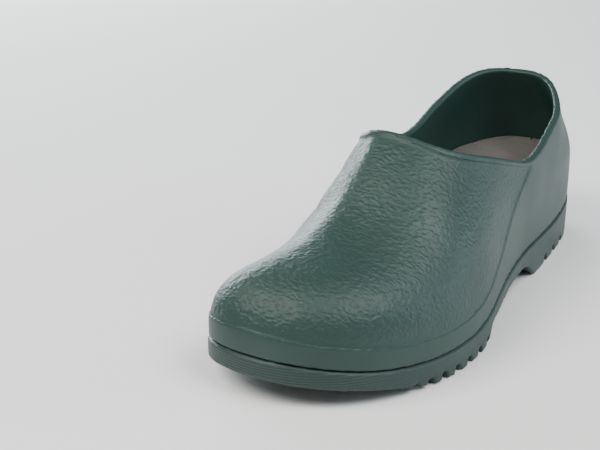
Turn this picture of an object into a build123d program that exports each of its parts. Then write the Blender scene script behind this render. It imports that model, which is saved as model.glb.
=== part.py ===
"""Closed-heel work clog for the left foot, moulded in polyurethane, with a loose cork footbed.

The clog stands on the ground at z = 0 with its toe towards -Y and its outer (lateral) side
towards +X. Stations are measured along the clog from the tip of the toe, in millimetres.
"""

import math
import os

import numpy as np
from build123d import *

# ---------------------------------------------------------------- driving dimensions
LENGTH = 292.0  # toe tip to the back of the heel
CENTRE_X = 3.8  # middle of the sole's width, measured from the foot's own axis

# Plan outline of the sole, (x, station), from the heel round the outer side and the toe
OUTLINE = [
    (2.5, 292.0),
    (29.6, 280.0),
    (39.6, 248.0),
    (45.0, 196.0),
    (51.4, 146.5),
    (60.2, 102.0),
    (54.2, 55.5),
    (31.0, 17.0),
    (-9.3, 0.0),
    (-43.2, 11.0),
    (-50.0, 42.0),
    (-52.6, 89.0),
    (-45.4, 142.0),
    (-39.0, 196.0),
    (-36.8, 248.0),
    (-26.8, 279.8),
]

# Side view, (station, height)
SEAM = [(-10, 25), (0, 23.2), (20, 18.6), (45, 14.8), (75, 13.2), (105, 14.6), (135, 17.2),
        (165, 20), (190, 21), (215, 20), (245, 20), (270, 22.5), (292, 26), (305, 28)]
RIDGE = [(-10, 56), (0, 57), (20, 58.4), (39, 61.5), (60, 67), (78, 75.5), (92, 85.5),
         (105, 95), (118, 103.4), (140, 122), (170, 157), (200, 210), (250, 320), (310, 450)]
RIDGE_X = [(-10, -13.2), (0, -13.2), (40, -10), (78, -7), (105, -5), (122, -5), (150, -2), (200, 1.5),
           (250, 2.5), (310, 2.5)]
HEEL_BACK = [(-10, 290), (10, 290.5), (25, 291.5), (38, 292), (50, 291.3), (65, 288.2),
             (80, 283.5), (95, 278.5), (120, 271)]  # (height, station)
VAMP_LINE = [(-14, 40), (0, 36.3), (11, 33), (20, 31), (27, 29.3), (42, 26.8), (56, 25.6), (72, 25),
             (86, 25.4), (103, 27.5), (121, 32), (139, 38), (152, 46), (165, 54.6), (175, 60.4),
             (184, 64.4), (191, 67.6)]
TOPLINE = [(113.5, 114), (115.8, 105), (117.6, 100.4), (121, 96.8), (128, 93.2), (143, 88), (165, 79.8),
           (186, 72.6), (198, 71.5), (211, 73.2), (225, 77.4), (240, 81.6), (259, 87.8), (273, 92.1),
           (285, 94.2), (305, 95.4)]
BEAD_LINE = [(110.5, 114), (113, 104), (115, 98), (118.6, 94.2), (126.2, 90.6), (142, 85.2),
             (164, 77.1), (179, 71.8), (190.4, 69)]
FLOOR = [(-10, 28), (0, 25.4), (20, 20.6), (45, 16.8), (75, 15.2), (105, 16), (135, 19),
         (165, 23), (195, 26), (225, 27), (292, 27), (305, 27)]
TOE_SPRING = [(-12, 14.5), (0, 12.6), (14, 10), (32, 6.6), (48, 2.9), (57, 1.1), (68, 0)]
SHANK = [(115, 0), (117, 4), (120, 7.4), (128, 8.3), (144, 9.3), (160, 11), (173, 11.8),
         (184, 11.4), (192, 8.6), (198, 3.4), (203, 0)]

# Footbed, (station, height) along its middle, and how far its two edges stand above the middle
BED_MIDDLE = [(-5, 30.6), (5, 28.6), (20, 25.6), (45, 22.5), (75, 21.3), (105, 22.6), (135, 26.6),
              (165, 31.4), (195, 35.4), (225, 37.4), (245, 38.6), (262, 41), (276, 45.2), (288, 50),
              (296, 53)]
BED_INNER = [(-5, 1), (40, 1.2), (75, 1.6), (105, 3), (135, 7), (165, 10), (195, 8.5), (225, 6.5),
             (245, 6), (262, 5), (276, 2.5), (288, 0.3), (296, 0)]
BED_OUTER = [(-5, 0.6), (40, 0.8), (75, 1), (105, 1.5), (135, 2.6), (165, 4.2), (195, 5.6), (225, 6),
             (245, 6), (262, 5), (276, 2.5), (288, 0.3), (296, 0)]
CLOTH, LINING = 1.0, 1.2  # thickness of the footbed's base cloth and top lining

NOTCHES = [49, 58, 67, 77, 88, 100, 112, 222, 237, 252, 267]  # tread grooves, which notch the edge
NOTCH_WIDE, NOTCH_TALL = 4.0, 4.6
GROOVE = 1.1  # height of the groove between the upper and the outsole's edge

ARCH_START = 28.0  # height where the vamp starts to curve in from the side wall
# How full the vamp's section is, (station, power): its outer half, and its inner half, which falls
# away from the ridge in a nearly straight slope behind the toe cap
OUTER_POWER = [(0, 2.5), (30, 2.5), (110, 2.0), (310, 2.0)]
INNER_RISE = [(0, 2.6), (20, 2.45), (38, 1.65), (58, 1.15), (84, 1.1), (104, 1.7), (118, 2.8),
              (130, 2.8), (160, 2.0), (310, 2.0)]
INNER_POWER = [(0, 2.6), (20, 2.5), (38, 2.0), (58, 1.6), (84, 1.55), (104, 1.8), (118, 2.3),
               (130, 2.3), (160, 2.0), (310, 2.0)]
INNER_TAPER = [(0, 0), (70, 0), (90, 0.12), (104, 0.3), (116, 0.42), (128, 0.4), (150, 0.2), (185, 0),
               (310, 0)]  # and how far the inner half leans in towards the ridge
COLLAR_LEAN = 1.8  # the collar leans this far towards the other foot
TOE_ROUND, TOE_POWER = 36.0, 2.2  # length and fullness of the toe cap's rounding
SWEEP_BACK = 180.0  # the heel's forward lean is taken up behind this station

BAND_INSET = 0.5  # the welt band stands in from the outsole's edge
VAMP_INSET = 1.3  # and the grained vamp a little further in
COLLAR_INSET = 4.8  # inner face of the upper, below the topline
SOLE_INSET = 7.5  # and down at the footbed
NECK_INSET = 1.6  # bottom of that groove
SEAT_GAP = 0.45  # between the outsole's seat and the upper round it
BED_GAP = 1.5  # between the footbed and the upper round it
BED_TOE_GAP = 3.0  # and in front of its toe, so that it can come out heel first
BED_LIFT = 0.3  # between the footbed and the floor

LEVELS = [4, 14, 22, 29, 35, 41, 46, 50, 53.5, 56.5, 59.5, 63, 67.5, 73, 80, 88, 97, 108, 120]
POINTS_A_SIDE = 17


# ---------------------------------------------------------------- smooth curves
def smooth(points):
    """A natural cubic through (at, value) points, as a function."""
    x, y = (np.array(c, float) for c in zip(*points))
    h = np.diff(x)
    slopes = np.diff(y) / h
    rows = np.eye(len(x))
    right = np.zeros(len(x))
    for i in range(1, len(x) - 1):
        rows[i, i - 1: i + 2] = h[i - 1], 2 * (h[i - 1] + h[i]), h[i]
        right[i] = 6 * (slopes[i] - slopes[i - 1])
    bend = np.linalg.solve(rows, right)

    def value(at):
        i = int(np.clip(np.searchsorted(x, at) - 1, 0, len(h) - 1))
        t = at - x[i]
        first = slopes[i] - h[i] * (2 * bend[i] + bend[i + 1]) / 6
        return y[i] + t * (first + t * (bend[i] / 2 + t * (bend[i + 1] - bend[i]) / (6 * h[i])))

    return value


seam = smooth(SEAM)
ridge = smooth(RIDGE)
ridge_x = smooth(RIDGE_X)
heel_back = smooth(HEEL_BACK)
floor = smooth(FLOOR)


def level(points, at):
    """Straight lines between (at, value) points."""
    return float(np.interp(at, *zip(*points)))


def ease(t):
    """0 up to t = 0 and 1 from t = 1, with a smooth rise between."""
    t = min(max(t, 0), 1)
    return t * t * (3 - 2 * t)


def outline_sides(inset):
    """The plan outline moved in by inset, as dense (station, x) lists for its two sides."""
    line = Spline(*OUTLINE, periodic=True, mode=Mode.PRIVATE)
    around = []
    for i in range(1600):
        p, t = line @ (i / 1600), line % (i / 1600)
        around.append((p.X + inset * t.Y, p.Y - inset * t.X))
    tip = min(range(1600), key=lambda i: around[i][1])
    back = max(range(-800, 800), key=lambda i: around[i][1])
    outer = sorted((s, x) for x, s in (around[i] for i in range(back, tip + 1)))
    inner = sorted((s, x) for x, s in (around[i % 1600] for i in range(tip, back + 1601)))
    return outer, inner


def ridge_height(station, inset):
    """Height of the vamp's ridge, moved in by inset, with the toe cap's rounding."""
    slope = (ridge(station + 1) - ridge(station - 1)) / 2
    top = ridge(station) - inset * math.hypot(1, slope)
    reach = (station - inset) / (TOE_ROUND - inset)
    if reach >= 1:
        return top
    full = (1 - (1 - max(reach, 0)) ** TOE_POWER) ** (1 / TOE_POWER)
    return ARCH_START + (top - ARCH_START) * full


def front(height, inset):
    """Station where a level cut through the clog starts."""
    if height <= ARCH_START:
        return inset
    low, high = inset, 250.0
    for _ in range(50):
        middle = (low + high) / 2
        if ridge_height(middle, inset) < height:
            low = middle
        else:
            high = middle
    return high


def inner_inset(height):
    """How far the cavity stands in from the outline: less under the topline than at the sole."""
    return SOLE_INSET + (COLLAR_INSET - SOLE_INSET) * ease((height - 26) / 26)


def ring(height, inset, cached={}):
    """Points round a level cut of the clog's outside, moved in by inset."""
    key = round(inset, 4)
    if key not in cached:
        cached[key] = [tuple(np.array(c) for c in zip(*side)) for side in outline_sides(inset)]
    start, end = front(height, inset), heel_back(height) - inset
    sides = []
    for stations, edges in cached[key]:
        side = []
        for i in range(POINTS_A_SIDE + 1):
            s = end - (end - start) * (1 - math.cos(math.pi * i / POINTS_A_SIDE)) / 2
            at = s
            if s > SWEEP_BACK:
                at = SWEEP_BACK + (s - SWEEP_BACK) * (stations[-1] - SWEEP_BACK) / (end - SWEEP_BACK)
            edge = float(np.interp(at, stations, edges))
            middle = ridge_x(s)
            rise = (height - ARCH_START) / max(ridge_height(s, inset) - ARCH_START, 1e-6)
            rise = min(max(rise, 0), 1)
            steep, full = ((OUTER_POWER, OUTER_POWER) if not sides else (INNER_RISE, INNER_POWER))
            x = middle + (edge - middle) * (1 - rise ** level(steep, s)) ** (1 / level(full, s))
            if sides:
                x = middle + (x - middle) * (1 - level(INNER_TAPER, s) * rise)
            lean = ease((height - 50) / 42)
            if not sides:
                tuck = 0.14 * ease((s - 238) / 26) + 0.13 * ease((s - 256) / 20)
                x = middle + (x - middle) * (1 - tuck * lean)
            x -= COLLAR_LEAN * lean * ease((s - 140) / 90)
            side.append((x - CENTRE_X, s - LENGTH / 2))
        sides.append(side)
    outer, inner = sides
    return outer[:-1] + inner[:0:-1]


# ---------------------------------------------------------------- building blocks
def lofted(inset, levels=LEVELS, squeeze=1.0):
    """The clog's outside moved in by inset(height), as a solid."""
    with BuildPart() as solid:
        for z in levels:
            with BuildSketch(Plane.XY.offset(z)):
                points = ring(z, inset(z))
                back = points[0][1]
                points = [(x, back - (back - y) * squeeze) for x, y in points]
                with BuildLine():
                    Spline(*points, periodic=True)
                make_face()
        loft()
    return solid.part


def side_view(points, corners, second=None):
    """A side view area, bounded by one or two curves and straight lines, taken right across."""
    with BuildPart() as solid:
        with BuildSketch(Plane.YZ):
            with BuildLine():
                curve = Spline(*[(s - LENGTH / 2, z) for s, z in points])
                start = curve @ 1
                if second:
                    other = Spline(*[(s - LENGTH / 2, z) for s, z in second])
                    Line(start, other @ 0)
                    start = other @ 1
                Polyline(start, *[(s - LENGTH / 2, z) for s, z in corners], curve @ 0)
            make_face()
        extrude(amount=90, both=True)
    return solid.part


def along(curve, lift=0.0, step=12):
    """Points on one of the side view curves, for side_view."""
    return [(s, curve(s) + lift) for s in range(-10, 308, step)]


def bed_top(drop):
    """Everything above the footbed's moulded top, lowered by drop."""
    middle, inner, outer = smooth(BED_MIDDLE), smooth(BED_INNER), smooth(BED_OUTER)
    with BuildPart() as solid:
        for s in (-4, 10, 25, 45, 75, 105, 135, 165, 195, 220, 240, 256, 268, 277, 285, 293):
            reach = 30 + 24 * math.exp(-((s - 95) / 75) ** 2)
            with BuildSketch(Plane((0, s - LENGTH / 2, 0), x_dir=(1, 0, 0), z_dir=(0, -1, 0))):
                with BuildLine():
                    across = []
                    for i in range(-7, 8):
                        edge = (outer if i > 0 else inner)(s) * abs(i / 5.6) ** 2.6
                        across.append((i / 5.6 * reach, middle(s) + edge - drop))
                    curve = Spline(*across)
                    Polyline(curve @ 1, (reach * 1.25, 120), (-reach * 1.25, 120), curve @ 0)
                make_face()
        loft()
    return solid.part


os.makedirs("parts", exist_ok=True)

# ---------------------------------------------------------------- upper
outside = lofted(lambda z: BAND_INSET)
sunk = lofted(lambda z: VAMP_INSET)
cavity = lofted(inner_inset)
vamp_area = side_view(VAMP_LINE, [(-14, 114)], BEAD_LINE[::-1])
over_topline = side_view(TOPLINE, [(305, 140), (113.5, 140)])
under_seam = side_view(along(seam, GROOVE / 2), [(302, -20), (-10, -20)])

with BuildPart() as upper:
    add(outside)
    add(vamp_area, mode=Mode.SUBTRACT)
    with BuildPart(mode=Mode.PRIVATE) as vamp:
        add(sunk)
        add(vamp_area, mode=Mode.INTERSECT)
    add(vamp.part)
    add(cavity, mode=Mode.SUBTRACT)
    add(over_topline, mode=Mode.SUBTRACT)
    add(under_seam, mode=Mode.SUBTRACT)

# ---------------------------------------------------------------- outsole
low = [-3, 9, 20, 27]
ledge = side_view(along(seam, -GROOVE / 2), [(302, 60), (-10, 60)])
with BuildPart() as outsole:
    add(lofted(lambda z: 0.0, low + [34]))
    add(ledge, mode=Mode.SUBTRACT)
    with BuildPart(mode=Mode.PRIVATE) as neck:
        add(lofted(lambda z: NECK_INSET, low + [34]))
        add(side_view(along(seam, GROOVE / 2), [(302, 60), (-10, 60)]), mode=Mode.SUBTRACT)
    add(neck.part)
    with BuildPart(mode=Mode.PRIVATE) as seat:
        add(lofted(lambda z: inner_inset(z) + SEAT_GAP, low + [32, 38]))
        add(side_view(along(floor), [(302, 60), (-10, 60)]), mode=Mode.SUBTRACT)
    add(seat.part)
    with BuildSketch(Plane.XY):
        Rectangle(400, 400)
    extrude(amount=-30, mode=Mode.SUBTRACT)
    add(side_view(TOE_SPRING, [(68, -20), (-12, -20)]), mode=Mode.SUBTRACT)
    add(side_view(SHANK, [(203, -20), (115, -20)]), mode=Mode.SUBTRACT)
    with BuildSketch(Plane.YZ):
        for station in NOTCHES:
            with Locations((station - LENGTH / 2, 0)):
                Rectangle(NOTCH_WIDE, 2 * (NOTCH_TALL - NOTCH_WIDE / 2))
            with Locations((station - LENGTH / 2, NOTCH_TALL - NOTCH_WIDE / 2)):
                Circle(NOTCH_WIDE / 2)
    extrude(amount=90, both=True, mode=Mode.SUBTRACT)

# ---------------------------------------------------------------- footbed
bed = lofted(lambda z: inner_inset(z) + BED_GAP, [6, 14, 22, 29, 35, 41, 46, 50, 54, 60],
             1 - BED_TOE_GAP / 275)


def bed_layer(low_cut, high_cut):
    """The footbed between two of its faces."""
    with BuildPart() as layer:
        add(bed)
        add(low_cut, mode=Mode.SUBTRACT)
        add(high_cut, mode=Mode.SUBTRACT)
    return layer.part


under = side_view(along(floor, BED_LIFT), [(302, -20), (-10, -20)])
over_cloth = side_view(along(floor, BED_LIFT + CLOTH), [(302, 120), (-10, 120)])
under_core = side_view(along(floor, BED_LIFT + CLOTH), [(302, -20), (-10, -20)])
over_core, over_lining = bed_top(LINING), bed_top(0)

with BuildPart() as footbed_base_cloth:
    add(bed_layer(under, over_cloth))
with BuildPart() as footbed_core:
    add(bed_layer(under_core, over_core))
with BuildPart() as footbed_lining:
    add(bed)
    add(over_core, mode=Mode.INTERSECT)
    add(over_lining, mode=Mode.SUBTRACT)

upper.part.label = "upper"
outsole.part.label = "outsole"
footbed_core.part.label = "footbed_core"
footbed_lining.part.label = "footbed_lining"
footbed_base_cloth.part.label = "footbed_base_cloth"
export_step(upper.part, "parts/upper.step")
export_step(outsole.part, "parts/outsole.step")
export_step(footbed_core.part, "parts/footbed_core.step")
export_step(footbed_lining.part, "parts/footbed_lining.step")
export_step(footbed_base_cloth.part, "parts/footbed_base_cloth.step")
for node in (upper, outsole, footbed_core, footbed_lining, footbed_base_cloth):
    box = node.part.bounding_box()
    print(node.part.label, len(node.part.solids()), round(node.part.volume / 1000, 1), "cm3", box)
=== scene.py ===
"""A left-foot work clog in dark green moulded polyurethane, with a loose cork footbed."""

import math

import bpy
import numpy as np
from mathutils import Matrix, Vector


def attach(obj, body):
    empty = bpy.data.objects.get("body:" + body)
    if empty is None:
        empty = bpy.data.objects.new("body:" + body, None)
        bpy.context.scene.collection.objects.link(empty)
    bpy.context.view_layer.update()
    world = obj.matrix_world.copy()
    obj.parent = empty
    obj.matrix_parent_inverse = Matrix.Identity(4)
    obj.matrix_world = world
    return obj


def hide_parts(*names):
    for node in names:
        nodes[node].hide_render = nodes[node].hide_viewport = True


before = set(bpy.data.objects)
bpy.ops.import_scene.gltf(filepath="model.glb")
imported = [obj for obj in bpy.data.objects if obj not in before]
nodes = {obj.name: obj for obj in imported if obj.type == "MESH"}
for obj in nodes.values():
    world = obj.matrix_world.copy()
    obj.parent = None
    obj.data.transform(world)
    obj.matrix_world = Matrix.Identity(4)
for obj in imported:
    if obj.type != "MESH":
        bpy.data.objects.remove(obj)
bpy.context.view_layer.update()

# Side view of the clog in millimetres: (distance from the toe tip, height above the ground)
TOE = -146.0
VAMP_LINE = [(-14, 40), (0, 36.3), (11, 33), (20, 31), (27, 29.3), (42, 26.8), (56, 25.6), (72, 25),
             (86, 25.4), (103, 27.5), (121, 32), (139, 38), (152, 46), (165, 54.6), (175, 60.4),
             (184, 64.4), (191, 67.6)]
BEAD_LINE = [(114, 110.5), (104, 113), (98, 115), (94.2, 118.6), (90.6, 126.2), (85.2, 142),
             (77.1, 164), (71.8, 179), (69, 190.4)]  # (height, distance from the toe tip)
VAMP_END = 188  # distance from the toe tip


# ---------------------------------------------------------------- camera, light and floor
def aim(thing, towards):
    """Turns a camera or light to face a point."""
    thing.rotation_euler = (Vector(towards) - thing.location).to_track_quat("-Z", "Y").to_euler()


CAMERA_PLACE = Vector((0.3205, -0.6328, 0.3400))
LOOKING = Vector((-0.49220, 0.77840, -0.38965))
lens = bpy.data.cameras.new("camera")
lens.lens = 86.1
lens.sensor_width = 36.0
camera = bpy.data.objects.new("camera", lens)
bpy.context.collection.objects.link(camera)
camera.location = CAMERA_PLACE
aim(camera, CAMERA_PLACE + LOOKING)
bpy.context.scene.camera = camera


def softbox(name, place, towards, width, height, power, tint):
    """A rectangular light; sizes in metres, power in watts."""
    light = bpy.data.lights.new(name, "AREA")
    light.shape = "RECTANGLE"
    light.size, light.size_y = width, height
    light.energy = power
    light.color = tint
    box = bpy.data.objects.new(name, light)
    bpy.context.collection.objects.link(box)
    box.location = place
    aim(box, towards)


softbox("key_softbox", (0.75, -0.1, 1.25), (0, -0.02, 0.05), 0.8, 0.8, 17, (1.0, 1.0, 1.0))
softbox("front_softbox", (-0.45, -0.75, 1.15), (0, -0.05, 0.03), 0.8, 0.8, 17, (1.0, 0.98, 0.92))
softbox("right_softbox", (1.15, 0.7, 0.35), (0, 0.05, 0.05), 0.8, 0.5, 7, (0.78, 0.92, 1.0))
softbox("back_left_softbox", (-1.15, 0.65, 0.35), (0, -0.02, 0.05), 1.1, 0.4, 24, (0.88, 0.97, 1.0))

world = bpy.data.worlds.new("studio")
world.use_nodes = True
world.node_tree.nodes["Background"].inputs["Color"].default_value = (1.0, 1.0, 1.0, 1.0)
world.node_tree.nodes["Background"].inputs["Strength"].default_value = 0.15
bpy.context.scene.world = world


def linear(code):
    """An sRGB hex colour as linear RGBA."""
    parts = [int(code[i:i + 2], 16) / 255 for i in (1, 3, 5)]
    return [c / 12.92 if c <= 0.04045 else ((c + 0.055) / 1.055) ** 2.4 for c in parts] + [1.0]


def add_node(tree, kind, inputs=None, **settings):
    """A shader node with its settings; inputs holds values, or the sockets to link."""
    made = tree.nodes.new(kind)
    for name, value in settings.items():
        setattr(made, name, value)
    for name, value in (inputs or {}).items():
        if isinstance(value, bpy.types.NodeSocket):
            tree.links.new(value, made.inputs[name])
        else:
            made.inputs[name].default_value = value
    return made


def new_material(name, **sockets):
    """A material with its shader's constant sockets set; returns it, its tree and its shader."""
    made = bpy.data.materials.new(name)
    made.use_nodes = True
    shader = made.node_tree.nodes["Principled BSDF"]
    for socket, value in sockets.items():
        shader.inputs[socket.replace("_", " ")].default_value = value
    return made, made.node_tree, shader


# ---------------------------------------------------------------- materials
def moulded_polyurethane(name, light, dark, shine):
    """Foamed polyurethane moulded in an aluminium tool: an even colour, a low satin sheen, and a
    grain of small pebbles with creases between them wherever the mould was etched ("grain")."""
    made, tree, shader = new_material(name, IOR=1.5, Metallic=0.0)
    place = add_node(tree, "ShaderNodeTexCoord").outputs["Object"]
    etched = add_node(tree, "ShaderNodeAttribute", attribute_name="grain").outputs["Fac"]
    lines = add_node(tree, "ShaderNodeAttribute", attribute_name="tool_lines").outputs["Fac"]

    cloudy = add_node(tree, "ShaderNodeTexNoise", {"Vector": place, "Scale": 28.0, "Detail": 3.0})
    warp = add_node(tree, "ShaderNodeTexNoise", {"Vector": place, "Scale": 260.0, "Detail": 1.0})
    shift = add_node(tree, "ShaderNodeVectorMath",
                     {0: warp.outputs["Color"], 1: (0.0022, 0.0022, 0.0022)}, operation="MULTIPLY")
    warped = add_node(tree, "ShaderNodeVectorMath", {0: place, 1: shift.outputs[0]}, operation="ADD")
    # flattened pebbles about 2.6 mm wide and 1.6 mm long, their creases running across the foot
    across = add_node(tree, "ShaderNodeMapping", {"Vector": warped.outputs[0],
                      "Scale": (0.6, 1.0, 1.0)})
    pebbles = add_node(tree, "ShaderNodeTexVoronoi", {"Vector": across.outputs[0], "Scale": 620.0},
                       feature="SMOOTH_F1")
    domes = add_node(tree, "ShaderNodeMapRange", {"Value": pebbles.outputs["Distance"],
                     "From Min": 0.0, "From Max": 0.7, "To Min": 1.0, "To Max": 0.0},
                     interpolation_type="SMOOTHSTEP")
    grain = add_node(tree, "ShaderNodeMath", {0: domes.outputs["Result"], 1: etched},
                     operation="MULTIPLY")
    # the mould's own fine blasted finish, about 0.5 mm
    blast = add_node(tree, "ShaderNodeTexNoise", {"Vector": place, "Scale": 1900.0, "Detail": 2.0})
    fine = add_node(tree, "ShaderNodeBump", {"Height": blast.outputs["Fac"], "Strength": 0.12,
                    "Distance": 0.0002})
    # fine lines left by the cutter round the outsole's edge, 1.4 mm apart
    bands = add_node(tree, "ShaderNodeTexWave", {"Vector": place, "Scale": 225.0, "Distortion": 0.4,
                     "Detail": 1.0, "Detail Scale": 0.3}, wave_type="BANDS", bands_direction="Z")
    cut = add_node(tree, "ShaderNodeMath", {0: bands.outputs["Fac"], 1: lines}, operation="MULTIPLY")
    lined = add_node(tree, "ShaderNodeBump", {"Height": cut.outputs[0], "Strength": 0.5,
                     "Distance": 0.0004, "Normal": fine.outputs["Normal"]})
    bumped = add_node(tree, "ShaderNodeBump", {"Height": grain.outputs[0], "Strength": 0.62,
                      "Distance": 0.0004, "Normal": lined.outputs["Normal"]})
    # the crisp edge where the smooth raised panels meet the grained vamp, 0.8 mm lower
    edge = add_node(tree, "ShaderNodeAttribute", attribute_name="panel_edge").outputs["Fac"]
    step = add_node(tree, "ShaderNodeMapRange", {"Value": edge, "From Min": 0.44, "From Max": 0.52,
                    "To Min": 1.0, "To Max": 0.0}, interpolation_type="SMOOTHSTEP")
    bumped = add_node(tree, "ShaderNodeBump", {"Height": step.outputs["Result"], "Strength": 0.8,
                      "Distance": 0.0006, "Normal": bumped.outputs["Normal"]})
    tree.links.new(bumped.outputs["Normal"], shader.inputs["Normal"])

    tone = add_node(tree, "ShaderNodeMix", {"Factor": cloudy.outputs["Fac"]}, data_type="RGBA")
    tone.inputs["A"].default_value = linear(light)
    tone.inputs["B"].default_value = linear(dark)
    tree.links.new(tone.outputs["Result"], shader.inputs["Base Color"])
    rough = add_node(tree, "ShaderNodeMapRange", {"Value": cloudy.outputs["Fac"], "From Min": 0.3,
                     "From Max": 0.7, "To Min": shine - 0.04, "To Max": shine + 0.05})
    tree.links.new(rough.outputs["Result"], shader.inputs["Roughness"])
    return made


def cork_latex():
    """Cork granules of 1 to 2 mm bound in latex and pressed: mottled browns, dull, slightly open."""
    made, tree, shader = new_material("cork_latex", IOR=1.45, Roughness=0.85)
    place = add_node(tree, "ShaderNodeTexCoord").outputs["Object"]
    granules = add_node(tree, "ShaderNodeTexVoronoi", {"Vector": place, "Scale": 620.0}, feature="F1")
    browns = add_node(tree, "ShaderNodeValToRGB", {"Fac": granules.outputs["Color"]})
    browns.color_ramp.elements[0].color = linear("#6b4a2e")
    browns.color_ramp.elements[1].color = linear("#b48a5c")
    pits = add_node(tree, "ShaderNodeBump", {"Height": granules.outputs["Distance"], "Strength": 0.5,
                    "Distance": 0.0003})
    tree.links.new(browns.outputs["Color"], shader.inputs["Base Color"])
    tree.links.new(pits.outputs["Normal"], shader.inputs["Normal"])
    return made


def brushed_microfibre():
    """Grey-beige non-woven microfibre, sueded: a soft directionless nap with paler and darker
    patches where it has been stroked, and a faint sheen at grazing angles."""
    made, tree, shader = new_material("brushed_microfibre", IOR=1.45, Roughness=0.95)
    shader.inputs["Sheen Weight"].default_value = 0.35
    shader.inputs["Sheen Roughness"].default_value = 0.5
    place = add_node(tree, "ShaderNodeTexCoord").outputs["Object"]
    stroked = add_node(tree, "ShaderNodeTexNoise", {"Vector": place, "Scale": 45.0, "Detail": 4.0})
    nap = add_node(tree, "ShaderNodeTexNoise", {"Vector": place, "Scale": 1500.0, "Detail": 3.0})
    both = add_node(tree, "ShaderNodeMath", {0: stroked.outputs["Fac"], 1: nap.outputs["Fac"]},
                    operation="ADD")
    greys = add_node(tree, "ShaderNodeMapRange", {"Value": both.outputs[0], "From Min": 0.75,
                     "From Max": 1.25})
    tone = add_node(tree, "ShaderNodeMix", {"Factor": greys.outputs["Result"]}, data_type="RGBA")
    tone.inputs["A"].default_value = linear("#514d4a")
    tone.inputs["B"].default_value = linear("#66615d")
    tree.links.new(tone.outputs["Result"], shader.inputs["Base Color"])
    fuzz = add_node(tree, "ShaderNodeBump", {"Height": nap.outputs["Fac"], "Strength": 0.4,
                    "Distance": 0.0002})
    tree.links.new(fuzz.outputs["Normal"], shader.inputs["Normal"])
    return made


def jute_cloth():
    """Plain-woven jute backing: hairy straw-brown threads about 1.2 mm apart, over and under."""
    made, tree, shader = new_material("jute_cloth", IOR=1.45, Roughness=0.9)
    place = add_node(tree, "ShaderNodeTexCoord").outputs["Object"]
    warp = add_node(tree, "ShaderNodeTexWave", {"Vector": place, "Scale": 260.0, "Distortion": 1.2,
                    "Detail": 2.0}, wave_type="BANDS", bands_direction="X")
    weft = add_node(tree, "ShaderNodeTexWave", {"Vector": place, "Scale": 260.0, "Distortion": 1.2,
                    "Detail": 2.0}, wave_type="BANDS", bands_direction="Y")
    weave = add_node(tree, "ShaderNodeMath", {0: warp.outputs["Fac"], 1: weft.outputs["Fac"]},
                     operation="MULTIPLY")
    tone = add_node(tree, "ShaderNodeMix", {"Factor": weave.outputs[0]}, data_type="RGBA")
    tone.inputs["A"].default_value = linear("#7a6140")
    tone.inputs["B"].default_value = linear("#b59a6b")
    tree.links.new(tone.outputs["Result"], shader.inputs["Base Color"])
    threads = add_node(tree, "ShaderNodeBump", {"Height": weave.outputs[0], "Strength": 0.7,
                       "Distance": 0.0004})
    tree.links.new(threads.outputs["Normal"], shader.inputs["Normal"])
    return made


upper_green = moulded_polyurethane("moulded_polyurethane_upper", "#23413c", "#1e3732", 0.5)
sole_green = moulded_polyurethane("moulded_polyurethane_outsole", "#233c38", "#1d3330", 0.5)
cork = cork_latex()
microfibre = brushed_microfibre()
jute = jute_cloth()


# ---------------------------------------------------------------- shaping
def only(piece):
    """Selects one object and nothing else, and makes it active."""
    bpy.ops.object.select_all(action="DESELECT")
    piece.select_set(True)
    bpy.context.view_layer.objects.active = piece


def finish_with(piece, kind, **settings):
    """Adds a modifier and applies it."""
    only(piece)
    extra = piece.modifiers.new(kind.lower(), kind)
    for name, value in settings.items():
        setattr(extra, name, value)
    bpy.ops.object.modifier_apply(modifier=extra.name)


def copied(node, name):
    """A merged copy of a CAD node, to be worked on."""
    piece = bpy.data.objects.new(name, nodes[node].data.copy())
    bpy.context.collection.objects.link(piece)
    only(piece)
    bpy.ops.object.mode_set(mode="EDIT")
    bpy.ops.mesh.select_all(action="SELECT")
    bpy.ops.mesh.remove_doubles(threshold=0.000002)
    bpy.ops.object.mode_set(mode="OBJECT")
    return piece


def remoulded(node, name, voxel, rounds):
    """A copy of a CAD node with an even, fine mesh, its sharp edges eased as a mould leaves them."""
    piece = copied(node, name)
    finish_with(piece, "REMESH", mode="VOXEL", voxel_size=voxel)
    finish_with(piece, "SMOOTH", factor=0.5, iterations=4)
    finish_with(piece, "SHRINKWRAP", target=nodes[node], wrap_method="NEAREST_SURFACEPOINT")
    finish_with(piece, "SMOOTH", factor=0.5, iterations=rounds)
    return piece


def places(piece):
    """The piece's points and normals in millimetres, one row each."""
    count = len(piece.data.vertices)
    points, normals = np.empty(count * 3), np.empty(count * 3)
    piece.data.vertices.foreach_get("co", points)
    piece.data.vertex_normals.foreach_get("vector", normals)
    return points.reshape(-1, 3) * 1000, normals.reshape(-1, 3)


def mark(piece, name, weights):
    """Stores a weight on each point, for the shader, and as a group for modifiers."""
    weights = np.clip(weights, 0, 1)
    stored = piece.data.attributes.new(name, "FLOAT", "POINT")
    stored.data.foreach_set("value", weights.astype(np.float32))
    group = piece.vertex_groups.new(name=name)
    for level in range(1, 11):
        chosen = np.nonzero(np.rint(weights * 10) == level)[0]
        group.add([int(i) for i in chosen], level / 10, "REPLACE")


def fade(value, start, end):
    """0 up to start and 1 from end, with a smooth rise between."""
    t = np.clip((value - start) / (end - start), 0, 1)
    return t * t * (3 - 2 * t)


# ---------------------------------------------------------------- upper
upper = remoulded("upper", "moulded_upper", 0.00112, 2)
points, normals = places(upper)
station, height = points[:, 1] - TOE, points[:, 2]
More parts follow.
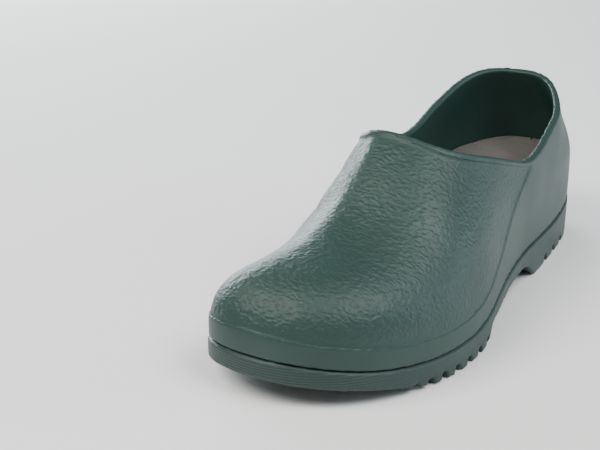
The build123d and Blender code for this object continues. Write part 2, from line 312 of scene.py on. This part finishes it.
# outside faces point away from a line along the middle of the clog, 28 mm above the ground
from_middle = points * (1, 0, 1) - (0, 0, 28.0)
outward = (normals * from_middle).sum(1) > 0
line = np.interp(station, *zip(*VAMP_LINE))
bead = np.interp(-height, *zip(*[(-h, s) for h, s in BEAD_LINE]))
rise = (np.interp(station + 1, *zip(*VAMP_LINE)) - np.interp(station - 1, *zip(*VAMP_LINE))) / 2
# how far into the grained vamp each point lies, in mm: above its lower edge, ahead of the bead
above = (height - line) / np.hypot(1, rise)
ahead = (bead - station) * 0.5
inside_vamp = outward & (station < VAMP_END)
into_vamp = np.where(inside_vamp, np.minimum(above, ahead), -5)
mark(upper, "grain", fade(into_vamp, 0.3, 3.5))
mark(upper, "tool_lines", np.zeros(len(points)))
mark(upper, "panel_edge", into_vamp / 8 + 0.5)

# the larger relief of the etched grain, 0.3 mm high: pebbles about 4 mm across and, between them,
# slow folds of about 6 mm
pebbles = bpy.data.textures.new("pebbles", "VORONOI")
pebbles.noise_scale = 0.0042
pebbles.weight_1, pebbles.weight_2 = -1.0, 1.0
finish_with(upper, "DISPLACE", texture=pebbles, texture_coords="LOCAL", vertex_group="grain",
            strength=0.0003, mid_level=0.35)
hide = bpy.data.textures.new("hide", "CLOUDS")
hide.noise_scale = 0.006
finish_with(upper, "DISPLACE", texture=hide, texture_coords="LOCAL", vertex_group="grain",
            strength=0.0003, mid_level=0.5)
only(upper)
bpy.ops.object.shade_smooth()
upper.data.materials.clear()
upper.data.materials.append(upper_green)
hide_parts("upper")
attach(upper, "shell")

# ---------------------------------------------------------------- outsole
# the cutter's lines show on the edge band round the toe only, fading out 25 to 75 mm from its tip
outsole = remoulded("outsole", "treaded_outsole", 0.0011, 2)
points, normals = places(outsole)
mark(outsole, "grain", np.zeros(len(points)))
mark(outsole, "panel_edge", np.zeros(len(points)))
side = 1 - fade(np.abs(normals[:, 2]), 0.3, 0.6)
mark(outsole, "tool_lines", side * (1 - fade(points[:, 1] - TOE, 25, 75)))
only(outsole)
bpy.ops.object.shade_smooth()
outsole.data.materials.clear()
outsole.data.materials.append(sole_green)
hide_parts("outsole")
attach(outsole, "shell")

# ---------------------------------------------------------------- footbed
# cork 2.5 mm thick under the toes and 20 mm at the heel, on 1 mm of jute, under 1.2 mm of microfibre
core = copied("footbed_core", "cork_footbed")
lining = copied("footbed_lining", "microfibre_lining")
cloth = copied("footbed_base_cloth", "jute_base")
for piece, node, material, slot in ((core, "footbed_core", cork, "cork_latex"),
                                    (lining, "footbed_lining", microfibre, "microfibre"),
                                    (cloth, "footbed_base_cloth", jute, "jute_cloth")):
    only(piece)
    bpy.ops.object.shade_smooth_by_angle(angle=math.radians(35))
    piece.data.materials.clear()
    piece.data.materials.append(material)
    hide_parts(node)
    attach(piece, "footbed")

# ---------------------------------------------------------------- floor
bpy.ops.object.select_all(action="DESELECT")
bpy.ops.mesh.primitive_plane_add(size=8, location=(0, 0, 0))
floor = bpy.context.object
floor.name = "floor"
paper, tree, shader = new_material("pale_paper", Roughness=0.9)
shader.inputs["Base Color"].default_value = linear("#fbfbfb")
floor.data.materials.append(paper)

for piece in (upper, outsole, core, lining, cloth):
    print("triangles", piece.name, sum(len(p.vertices) - 2 for p in piece.data.polygons))
